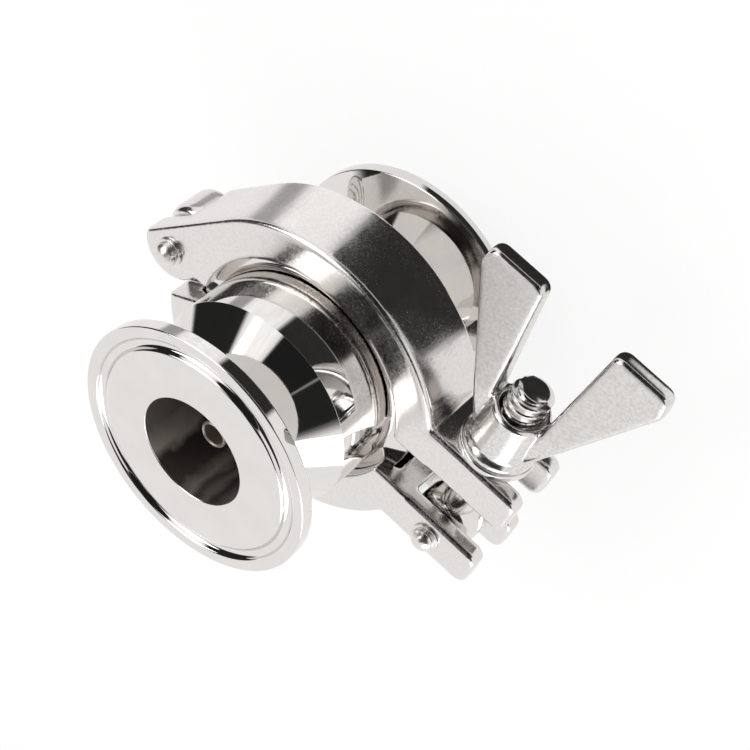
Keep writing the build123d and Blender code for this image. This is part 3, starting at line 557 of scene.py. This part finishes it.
class TRAP_OT_clamp(bpy.types.Operator):
    """Adds the two cast clamp halves."""

    bl_idname = "trap.clamp"
    bl_label = "Cast Clamp"

    def execute(self, context):
        sizes, finish = sizes_and_finish(context)
        mat = cast_steel("clamp_polish", finish.steel[:], finish.cast_roughness)
        for name, node, body in (
            ("upper_half_cast", "clamp_upper_half", "clamp_half"),
            ("lower_half_cast", "clamp_lower_half", "trap"),
        ):
            cast_copy(name, node, mat, body, sizes.cast_voxel, sizes.cast_rounds)
        return {"FINISHED"}


PIN_R = 2.1
PIN_BALL_R = 2.844
PIN_HEAD_H = 2.7
PIN_SEAT_Z = FRONT_Z + 0.02
PIN_TAIL_R, PIN_TAIL_H = 1.7, 0.4


def pin_profile(tail_z):
    """Outline of a pin from the top of its ball-like head down to its chamfered tail.  The
    dome is an arc whose centre lies on the axis: r = R sin t, z = top - R (1 - cos t)."""
    seat, top = PIN_SEAT_Z, PIN_SEAT_Z + PIN_HEAD_H
    turn = np.radians(np.linspace(0, 58, 10))
    dome = [(PIN_BALL_R * math.sin(t), top - PIN_BALL_R * (1 - math.cos(t)), 0) for t in turn]
    head = dome + [(2.45, seat + 1.25, 0.3), (2.42, seat + 0.8, 0.15), (2.15, seat + 0.6, 0.1),
                   (2.85, seat + 0.45, 0.12), (2.9, seat, 0.1), (PIN_R, seat, 0)]
    tail = [(PIN_R, tail_z + PIN_TAIL_H, 0.2), (PIN_TAIL_R, tail_z, 0.1), (0, tail_z, 0)]
    return eased(head + tail, closed=False)


class TRAP_OT_pins(bpy.types.Operator):
    """Adds the hinge pin and the bolt's pivot pin."""

    bl_idname = "trap.pins"
    bl_label = "Pins"

    def execute(self, context):
        sizes, finish = sizes_and_finish(context)
        for name, node, place, tail in (
            ("hinge_pin_turned", "hinge_pin", HINGE, 18.1),
            ("pivot_pin_turned", "bolt_pivot_pin", PIVOT, 17.5),
        ):
            mat = turned_steel(name + "_finish", finish.steel[:], 0.20,
                               (place[0] * MM, place[1] * MM, 0), ring_bump=0.06)
            points, faces = turned(pin_profile(tail), 64, (*place, 0), closed=False)
            finish_piece(name, points, faces, mat, "trap", (node,))
        return {"FINISHED"}


THREAD_R = 3.85
SHANK_R = 3.35
BOLT_LOW, BOLT_HIGH = -7.5, 32.6
SHANK_END = 17.0
THREAD_FROM, THREAD_FADE = 17.4, 1.5
THREAD_FLAT = 0.22
THREAD_FLANK = 0.60
ROWS_PER_PITCH = 20
BOLT_STEPS = 96
TIP_R = 2.45
TIP_SLOPE = 1.3
TIP_BREAK, TIP_BREAK_H = 0.25, 0.12
EYE_BORE_R, EYE_R, EYE_HALF = 2.15, 6.3, 3.8
WASHER_BORE_R, WASHER_R = 3.9, 7.4
WASHER_LOW, WASHER_HIGH = 14.22, 15.62


def thread_profile(turns):
    """Depth of a worn thread at a part of its pitch: flat crest and root joined by half a
    cosine."""
    part = np.clip((np.abs((turns % 1.0) - 0.5) * 2 - THREAD_FLAT) / THREAD_FLANK, 0, 1)
    return 0.5 - 0.5 * np.cos(math.pi * part)


def threaded_shank(pitch, depth):
    """Shank along Y: radius = crest less the thread's depth at y / pitch - turn, and no more
    than the plain shank's below its end or the eased tip's near the top."""
    rows = int((BOLT_HIGH - BOLT_LOW) / pitch * ROWS_PER_PITCH)
    y = np.linspace(BOLT_LOW, BOLT_HIGH, rows)[:, None]
    turn = np.linspace(0, 2 * math.pi, BOLT_STEPS, endpoint=False)[None, :]
    groove = thread_profile((y / pitch) - turn / (2 * math.pi))
    radius = THREAD_R - depth * groove * np.clip((y - THREAD_FROM) / THREAD_FADE, 0, 1)
    radius = np.minimum(radius, SHANK_R + np.clip(y - SHANK_END, 0, 1))
    below = BOLT_HIGH - y
    tip = TIP_R + below * TIP_SLOPE - TIP_BREAK * np.exp(-below / TIP_BREAK_H)
    radius = np.minimum(radius, tip)
    ring = np.stack([BOLT_X + radius * np.sin(turn), y + 0 * turn,
                     JOINT_Z + radius * np.cos(turn)], -1)
    foot, cap = (np.repeat([[[BOLT_X, end, JOINT_Z]]], BOLT_STEPS, 1)
                 for end in (BOLT_LOW, BOLT_HIGH))
    points = np.concatenate([foot, ring, cap]).reshape(-1, 3) * MM
    return points, grid_faces(rows + 2, BOLT_STEPS, False, True)


class TRAP_OT_bolt(bpy.types.Operator):
    """Adds the threaded swing bolt and its eye."""

    bl_idname = "trap.bolt"
    bl_label = "Swing Bolt"

    def execute(self, context):
        sizes, finish = sizes_and_finish(context)
        axis = (BOLT_X * MM, 0, JOINT_Z * MM)
        shank, shank_faces = threaded_shank(sizes.thread_pitch / MM, sizes.thread_depth / MM)
        eye = eased([(EYE_BORE_R, JOINT_Z - EYE_HALF, 0.2), (EYE_R, JOINT_Z - EYE_HALF, 2.8),
                     (EYE_R, JOINT_Z + EYE_HALF, 2.8), (EYE_BORE_R, JOINT_Z + EYE_HALF, 0.2)])
        eye_points, eye_faces = turned(eye, BOLT_STEPS, (PIVOT[0], PIVOT[1], 0))
        points = np.concatenate([shank, eye_points])
        faces = np.concatenate([shank_faces, eye_faces + len(shank)])
        mat = turned_steel("bolt_finish", finish.steel[:], 0.10, axis, "Y", 0.08)
        finish_piece("swing_bolt_threaded", points, faces, mat, "bolt",
                     ("swing_bolt",), 40)
        washer = eased([(WASHER_BORE_R, WASHER_LOW, 0.1), (WASHER_R, WASHER_LOW, 0.3),
                        (WASHER_R, WASHER_HIGH, 0.4), (WASHER_BORE_R, WASHER_HIGH, 0.1)])
        points, faces = turned(washer, BOLT_STEPS, (BOLT_X, 0, JOINT_Z), "Y")
        mat = turned_steel("washer_finish", finish.steel[:], 0.08, axis, "Y", 0.06)
        finish_piece("nut_washer_turned", points, faces, mat, "washer",
                     ("nut_washer",))
        return {"FINISHED"}


class TRAP_OT_wing_nut(bpy.types.Operator):
    """Adds the cast wing nut."""

    bl_idname = "trap.wing_nut"
    bl_label = "Wing Nut"

    def execute(self, context):
        sizes, finish = sizes_and_finish(context)
        mat = wing_steel("wing_finish", finish.steel[:], finish.cast_roughness,
                         finish.grain_roughness)
        cast_copy("wing_nut_cast", "wing_nut", mat, "nut",
                  sizes.cast_voxel * 0.8, sizes.cast_rounds)
        return {"FINISHED"}


class TRAP_OT_element(bpy.types.Operator):
    """Finishes the pieces inside the trap and the small washers."""

    bl_idname = "trap.element"
    bl_label = "Element and Seat"

    def execute(self, context):
        sizes, finish = sizes_and_finish(context)
        inner = turned_steel("element_finish", finish.steel[:], 0.12, ring_bump=0.08)
        # The stem takes the darker bore colour as painted shade deep inside the trap
        dress("element_stem", turned_steel("stem_painted_shade", finish.bore[:], 0.42, ring_bump=0.08))
        for node in ("valve_seat", "seat_washer", "element_spider", "spider_snap_ring",
                     "stem_nut", "bellows_top_cap", "bellows", "bellows_bottom_cap",
                     "valve_head"):
            dress(node, inner)
        small = turned_steel("pin_washer_finish", finish.steel[:], 0.10, ring_bump=0.08)
        dress("hinge_pin_washer", small)
        dress("bolt_pivot_washer", small)
        dress("body_gasket", seal_material("gasket_finish", finish.seal[:]))
        return {"FINISHED"}


def dress(node, mat):
    """Gives a solid of the frame its finish."""
    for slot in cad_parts[node].material_slots:
        slot.material = mat


# Stage: the dome, the floor, the cards that only reflections see, the lamps and the camera

DOME_LIGHT = 0.86
DOME_COLOUR = (1.0, 0.99, 0.98, 1)
FLOOR_HALF = 1.2
FLOOR_Z = -2e-4
FLOOR_COLOUR = (0.93, 0.93, 0.93, 1)
FLOOR_WHITE_SHARE = 0.82

FLAG_FAR = 0.9
FLAG_LIFT = 0.0008
FLAG_SOFT = 4.0
FLAG_CENTRE = (0, 0, 0.03)
# Cards of the dome: name, azimuths and elevations in degrees, and brightness
DOME_FLAGS = [
    ("flag_front", (50, 114), 1, 86, 0.015),
    ("flag_high", (-10, 54), 34, 86, 0.02),
    ("card_left", (115, 150), 18, 66, 1.2),
    ("flag_left", (151, 208), 2, 60, 0.02),
    ("flag_top", (-4, 356), 74, 90, 0.02),
]
# Cards of the floor: name, azimuths in degrees, radii in metres, and brightness
FLOOR_FLAGS = [
    ("floor_flag_front", (60, 114), 0.09, 0.40, 0.03),
    ("floor_flag_near", (36, 114), 0.034, 0.09, 0.03),
    # A dark card round the outlet rim: painted shadow of the floor, which only reflections see
    ("floor_painted_shadow_rim", (56, 106), 0.0258, 0.034, 0.03),
    ("floor_card_left", (115, 150), 0.034, 0.40, 1.12),
    ("floor_flag_left", (150, 170), 0.034, 0.40, 0.42),
]

# Lamps: name, place, size in metres and power in watts
LAMPS = [
    ("key", (-0.35, 0.15, 0.55), 0.35, 1.2),
    ("fill", (0.45, -0.25, 0.40), 0.40, 0.8),
]
LAMP_AIM = (0, 0, 0.03)

# The camera fitted to the photo
CAMERA_LENS = 89.45
CAMERA_CLIP = (0.01, 20)
CAMERA_PLACE = (0.07229620, 0.27009663, 0.23303022)
CAMERA_TURN = ((0.72515276, -0.66510836, 0.17828165),
               (0.31134031, 0.54762561, 0.77664239),
               (-0.61418201, -0.50768513, 0.60418231))


def seeing_rays(add, join):
    """1 for rays that look at something: from the camera, off metal or through glass."""
    ray = add("ShaderNodeLightPath")
    both = calculate(add, join, "MAXIMUM", (ray, "Is Camera Ray"), (ray, "Is Glossy Ray"))
    return calculate(add, join, "MAXIMUM", both, (ray, "Is Transmission Ray"))


def mix_shaders(add, join, share, first, second):
    """The first shader where the share is 0, the second where it is 1."""
    mix = add("ShaderNodeMixShader")
    for into, (node, out) in enumerate((share, (first, 0), (second, 0))):
        join(node, out, mix, into)
    return mix


def stage_world():
    """An even dome that camera, mirror and glass rays see as white and that lights a little
    less."""
    world = bpy.data.worlds.new("studio")
    bpy.context.scene.world = world
    world.use_nodes = True
    tree = world.node_tree
    add, join = node_tools(tree)
    dome = tree.nodes["Background"]
    dome.inputs["Color"].default_value = DOME_COLOUR
    dome.inputs["Strength"].default_value = DOME_LIGHT
    white = add("ShaderNodeBackground", Color=(1, 1, 1, 1), Strength=1.0)
    mix = mix_shaders(add, join, (seeing_rays(add, join), 0), dome, white)
    join(mix, 0, tree.nodes["World Output"], "Surface")


def floor_material():
    """Pale paper that keeps the object's shadow, while the rays that look at it see it whiter."""
    mat, shader, add, join = start_material("floor_paper")
    shader.inputs["Base Color"].default_value = FLOOR_COLOUR
    shader.inputs["Roughness"].default_value = 0.9
    paper = noise(add, join, add("ShaderNodeTexCoord"), 60.0)
    join(bump(add, join, paper, 0.02, PAPER_GRAIN), 0, shader, "Normal")
    white = add("ShaderNodeEmission", Strength=1.0)
    share = calculate(add, join, "MULTIPLY", seeing_rays(add, join))
    share.inputs[1].default_value = FLOOR_WHITE_SHARE
    mix = mix_shaders(add, join, (share, 0), shader, white)
    join(mix, 0, mat.node_tree.nodes["Material Output"], "Surface")
    return mat


def flag_material(name, grey):
    """Studio card: dark cloth or bright paper with a faint weave, thinning out at its edges.
    The dark card round the outlet rim is painted shadow of the floor.
    """
    mat, _, add, join = start_material(name)
    weave = noise(add, join, add("ShaderNodeTexCoord"), 80.0)
    tone = value_range(add, join, weave, 0, grey * 0.9, grey * 1.1)
    glow = add("ShaderNodeEmission")
    join(tone, 0, glow, "Color")
    clear = add("ShaderNodeBsdfTransparent")
    edge = add("ShaderNodeAttribute", attribute_name="edge")
    mix = mix_shaders(add, join, (edge, "Fac"), glow, clear)
    join(mix, 0, mat.node_tree.nodes["Material Output"], "Surface")
    return mat


def stand_flag(name, mat, points, faces, edge):
    """Puts up a card that only reflections can see."""
    mesh = bpy.data.meshes.new(name)
    mesh.from_pydata(points.tolist(), [], faces.tolist())
    mesh.materials.append(mat)
    mesh.attributes.new("edge", "FLOAT", "POINT").data.foreach_set("value", edge)
    flag = link_object(name, mesh)
    flag.visible_camera = False
    flag.visible_diffuse = False
    flag.visible_shadow = False
    flag.visible_transmission = False


def flag_patch(az, low, high, floor=False):
    """Patch of a dome, or of the floor.  On the dome, point = far * (cos el cos az,
    cos el sin az, sin el) with el from low to high; on the floor, low to high is the radius.
    Its edge value is 1 at the rim and falls to 0 within FLAG_SOFT degrees of it; on the floor only
    its two ends in azimuth fade."""
    turn = np.linspace(az[0], az[1], 49)[:, None]
    near_edge = np.minimum(turn - az[0], az[1] - turn) / FLAG_SOFT
    a = np.radians(turn)
    if floor:
        r = np.linspace(low, high, 9)[None, :]
        points = np.stack([r * np.cos(a), r * np.sin(a), np.full_like(a * r, FLAG_LIFT)], -1)
        near_edge = near_edge + 0 * r
    else:
        rise = np.linspace(low, high, 33)[None, :]
        el = np.radians(rise)
        points = FLAG_FAR * np.stack([np.cos(el) * np.cos(a), np.cos(el) * np.sin(a),
                                      np.sin(el) + 0 * a], -1) + np.array(FLAG_CENTRE)
        near_edge = np.minimum(near_edge, np.minimum(rise - low, high - rise) / FLAG_SOFT)
    edge = 1 - np.clip(near_edge, 0, 1)
    faces = grid_faces(points.shape[0], points.shape[1], False, False)
    return points.reshape(-1, 3), faces, edge.ravel()


def stage_lamp(name, place, size, power):
    """Area lamp turned to the object."""
    lamp = bpy.data.lights.new(name, "AREA")
    lamp.size = size
    lamp.energy = power
    stand = link_object(name, lamp)
    stand.location = place
    away = Vector(place) - Vector(LAMP_AIM)
    stand.rotation_euler = away.to_track_quat("Z", "Y").to_euler()


class TRAP_OT_stage(bpy.types.Operator):
    """Adds the floor, the lights and the camera."""

    bl_idname = "trap.stage"
    bl_label = "Stage"

    def execute(self, context):
        stage_world()
        mesh = bpy.data.meshes.new("floor")
        s, z = FLOOR_HALF, FLOOR_Z
        mesh.from_pydata([(-s, -s, z), (s, -s, z), (s, s, z), (-s, s, z)], [], [(0, 1, 2, 3)])
        mesh.materials.append(floor_material())
        link_object("floor", mesh)
        for on_floor, flags in ((False, DOME_FLAGS), (True, FLOOR_FLAGS)):
            for name, az, low, high, grey in flags:
                patch = flag_patch(az, low, high, on_floor)
                stand_flag(name, flag_material(name + "_cloth", grey), *patch)
        for lamp in LAMPS:
            stage_lamp(*lamp)
        camera = bpy.data.cameras.new("camera")
        camera.sensor_width = 36.0
        camera.lens = CAMERA_LENS
        camera.clip_start, camera.clip_end = CAMERA_CLIP
        eye = link_object("camera", camera)
        eye.matrix_world = Matrix.Translation(CAMERA_PLACE) @ Matrix(CAMERA_TURN).to_4x4()
        context.scene.camera = eye
        context.scene.view_settings.view_transform = "Standard"
        return {"FINISHED"}


class TRAP_PT_panel(bpy.types.Panel):
    """Sidebar panel that lists the pieces."""

    bl_label = "Steam Trap"
    bl_idname = "TRAP_PT_panel"
    bl_space_type = "VIEW_3D"
    bl_region_type = "UI"
    bl_category = "Steam Trap"

    def draw(self, context):
        for operator in OPERATORS:
            self.layout.operator(operator.bl_idname)
        for group in (context.scene.trap_sizes, context.scene.trap_finish):
            for name in group.bl_rna.properties.keys():
                if name not in ("rna_type", "name"):
                    self.layout.prop(group, name)


OPERATORS = (TRAP_OT_bodies, TRAP_OT_clamp, TRAP_OT_pins, TRAP_OT_bolt, TRAP_OT_wing_nut,
             TRAP_OT_element, TRAP_OT_stage)
CLASSES = (TrapSizes, TrapFinish) + OPERATORS + (TRAP_PT_panel,)


def register():
    for cls in CLASSES:
        bpy.utils.register_class(cls)
    bpy.types.Scene.trap_sizes = bpy.props.PointerProperty(type=TrapSizes)
    bpy.types.Scene.trap_finish = bpy.props.PointerProperty(type=TrapFinish)


def unregister():
    del bpy.types.Scene.trap_finish
    del bpy.types.Scene.trap_sizes
    for cls in reversed(CLASSES):
        bpy.utils.unregister_class(cls)


def main():
    register()
    bpy.ops.trap.bodies()
    bpy.ops.trap.clamp()
    bpy.ops.trap.pins()
    bpy.ops.trap.bolt()
    bpy.ops.trap.wing_nut()
    bpy.ops.trap.element()
    bpy.ops.trap.stage()


if __name__ == "__main__":
    main()
